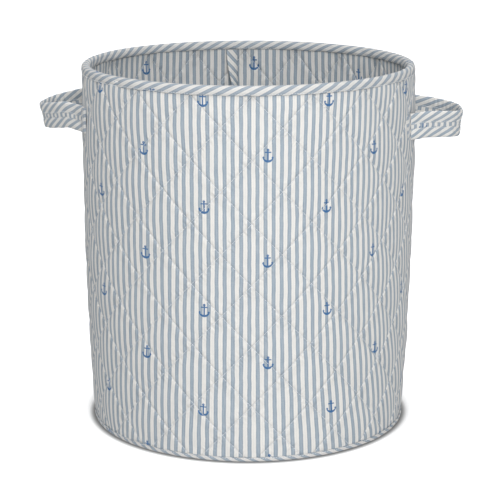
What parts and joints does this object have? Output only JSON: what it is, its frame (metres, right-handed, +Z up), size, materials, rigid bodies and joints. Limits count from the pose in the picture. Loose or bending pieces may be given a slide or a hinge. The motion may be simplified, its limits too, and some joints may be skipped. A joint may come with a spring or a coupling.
{
  "type": "quilted fabric storage basket",
  "caption": "Round self-standing quilted fabric basket with bound rim and base and a short strap handle sewn to each side, for laundry or toys.",
  "frame": {"origin": "middle of the base, on the floor plane", "axes": "+Z up; -Y is the front; +X towards the right handle, seen from the front"},
  "size_m": [0.5239, 0.403, 0.44],
  "materials": {
    "printed_fabric": "matte",
    "bias_binding": "matte",
    "wadding": "matte",
    "thread": "matte"
  },
  "bodies": {
    "basket": {"wall_outer_fabric": "printed_fabric", "wall_wadding": "wadding", "wall_lining_fabric": "printed_fabric", "wall_seam_binding": "bias_binding", "base_outer_fabric": "printed_fabric", "base_wadding": "wadding", "base_lining_fabric": "printed_fabric", "rim_binding": "bias_binding", "base_binding": "bias_binding", "rim_stitching": "thread", "base_stitching": "thread", "right_handle_sewn_ends": "bias_binding", "left_handle_sewn_ends": "bias_binding", "right_handle_bartacks": "thread", "left_handle_bartacks": "thread"},
    "right_handle": {"right_handle_core": "printed_fabric", "right_handle_upper_binding": "bias_binding", "right_handle_lower_binding": "bias_binding", "right_handle_stitching": "thread"},
    "left_handle": {"left_handle_core": "printed_fabric", "left_handle_upper_binding": "bias_binding", "left_handle_lower_binding": "bias_binding", "left_handle_stitching": "thread"}
  },
  "joints": [
    {"name": "right_handle_swing", "type": "hinge", "parent": "basket", "child": "right_handle", "pos_m": [0.21158, 0.01331, 0.371], "axis": [0.0628, -0.998, 0], "range_deg": [-54, 66], "stiffness_Nm_per_rad": 0.12},
    {"name": "left_handle_swing", "type": "hinge", "parent": "basket", "child": "left_handle", "pos_m": [-0.20737, 0.04408, 0.377], "axis": [0.2079, 0.9781, 0], "range_deg": [-48, 72], "stiffness_Nm_per_rad": 0.12}
  ]
}
